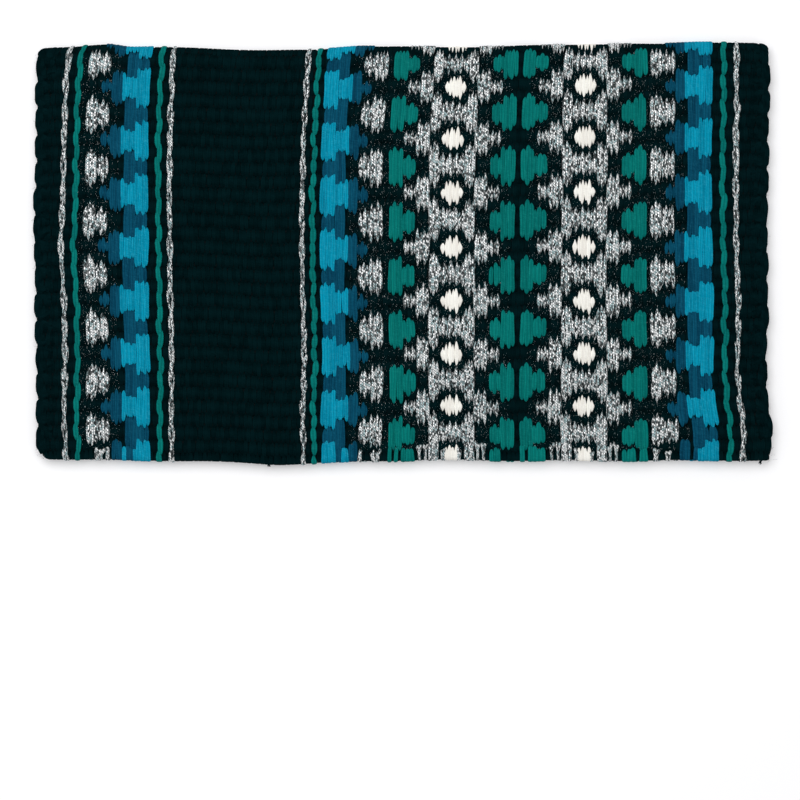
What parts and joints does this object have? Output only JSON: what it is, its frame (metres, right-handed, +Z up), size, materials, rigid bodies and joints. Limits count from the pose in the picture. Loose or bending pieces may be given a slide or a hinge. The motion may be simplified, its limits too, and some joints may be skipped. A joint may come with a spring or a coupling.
{
  "type": "folded woven saddle blanket",
  "caption": "Warp-faced wool saddle blanket folded double, ribbed, with stepped blocks, lattices, diamonds and stripes; the upper half opens about the fold.",
  "frame": {"origin": "middle of the folded blanket's footprint, on the surface that it lies on", "axes": "+X across the cloth, along the ribs and the fold, to the right of the picture; +Y from the woven ends towards the fold; +Z up, out of the face that the picture shows"},
  "size_m": [0.864, 0.494, 0.0183],
  "materials": {
    "black_wool": "matt wool warp, tightly packed, near black with a green-blue cast",
    "turquoise_wool": "soft wool floats, turquoise",
    "petrol_wool": "soft wool floats, dark blue",
    "teal_wool": "soft wool floats, blue green",
    "silver_metallic_yarn": "metallic film yarn twisted with grey, sparkling",
    "cream_wool": "soft wool floats, cream"
  },
  "bodies": {
    "lower_half": {"fold_ground_weave": "black_wool", "lower_cream_diamonds_1": "cream_wool", "lower_cream_diamonds_2": "cream_wool", "lower_end_finish": "black_wool", "lower_ground_weave": "black_wool", "lower_left_selvedge": "black_wool", "lower_petrol_floats_1": "petrol_wool", "lower_petrol_floats_2": "petrol_wool", "lower_petrol_floats_3": "petrol_wool", "lower_right_selvedge": "black_wool", "lower_silver_blocks_1": "silver_metallic_yarn", "lower_silver_blocks_2": "silver_metallic_yarn", "lower_silver_blocks_3": "silver_metallic_yarn", "lower_silver_lattice_1": "silver_metallic_yarn", "lower_silver_lattice_2": "silver_metallic_yarn", "lower_silver_pinstripe_1": "silver_metallic_yarn", "lower_silver_pinstripe_2": "silver_metallic_yarn", "lower_silver_pinstripe_3": "silver_metallic_yarn", "lower_silver_pinstripe_4": "silver_metallic_yarn", "lower_teal_blocks_1": "teal_wool", "lower_teal_blocks_2": "teal_wool", "lower_teal_blocks_3": "teal_wool", "lower_teal_blocks_4": "teal_wool", "lower_teal_stripe_1": "teal_wool", "lower_teal_stripe_2": "teal_wool", "lower_teal_stripe_3": "teal_wool", "lower_teal_stripe_4": "teal_wool", "lower_turquoise_blocks_1": "turquoise_wool", "lower_turquoise_blocks_2": "turquoise_wool", "lower_turquoise_blocks_3": "turquoise_wool"},
    "upper_half": {"upper_cream_diamonds_1": "cream_wool", "upper_cream_diamonds_2": "cream_wool", "upper_end_finish": "black_wool", "upper_ground_weave": "black_wool", "upper_left_selvedge": "black_wool", "upper_petrol_floats_1": "petrol_wool", "upper_petrol_floats_2": "petrol_wool", "upper_petrol_floats_3": "petrol_wool", "upper_right_selvedge": "black_wool", "upper_silver_blocks_1": "silver_metallic_yarn", "upper_silver_blocks_2": "silver_metallic_yarn", "upper_silver_blocks_3": "silver_metallic_yarn", "upper_silver_lattice_1": "silver_metallic_yarn", "upper_silver_lattice_2": "silver_metallic_yarn", "upper_silver_pinstripe_1": "silver_metallic_yarn", "upper_silver_pinstripe_2": "silver_metallic_yarn", "upper_silver_pinstripe_3": "silver_metallic_yarn", "upper_silver_pinstripe_4": "silver_metallic_yarn", "upper_teal_blocks_1": "teal_wool", "upper_teal_blocks_2": "teal_wool", "upper_teal_blocks_3": "teal_wool", "upper_teal_blocks_4": "teal_wool", "upper_teal_stripe_1": "teal_wool", "upper_teal_stripe_2": "teal_wool", "upper_teal_stripe_3": "teal_wool", "upper_teal_stripe_4": "teal_wool", "upper_turquoise_blocks_1": "turquoise_wool", "upper_turquoise_blocks_2": "turquoise_wool", "upper_turquoise_blocks_3": "turquoise_wool"}
  },
  "joints": [
    {"name": "fold_hinge", "type": "hinge", "parent": "lower_half", "child": "upper_half", "pos_m": [0, 0.23785, 0.00915], "axis": [-1, 0, 0], "range_deg": [0, 180], "deforming": ["fold_ground_weave"]}
  ]
}
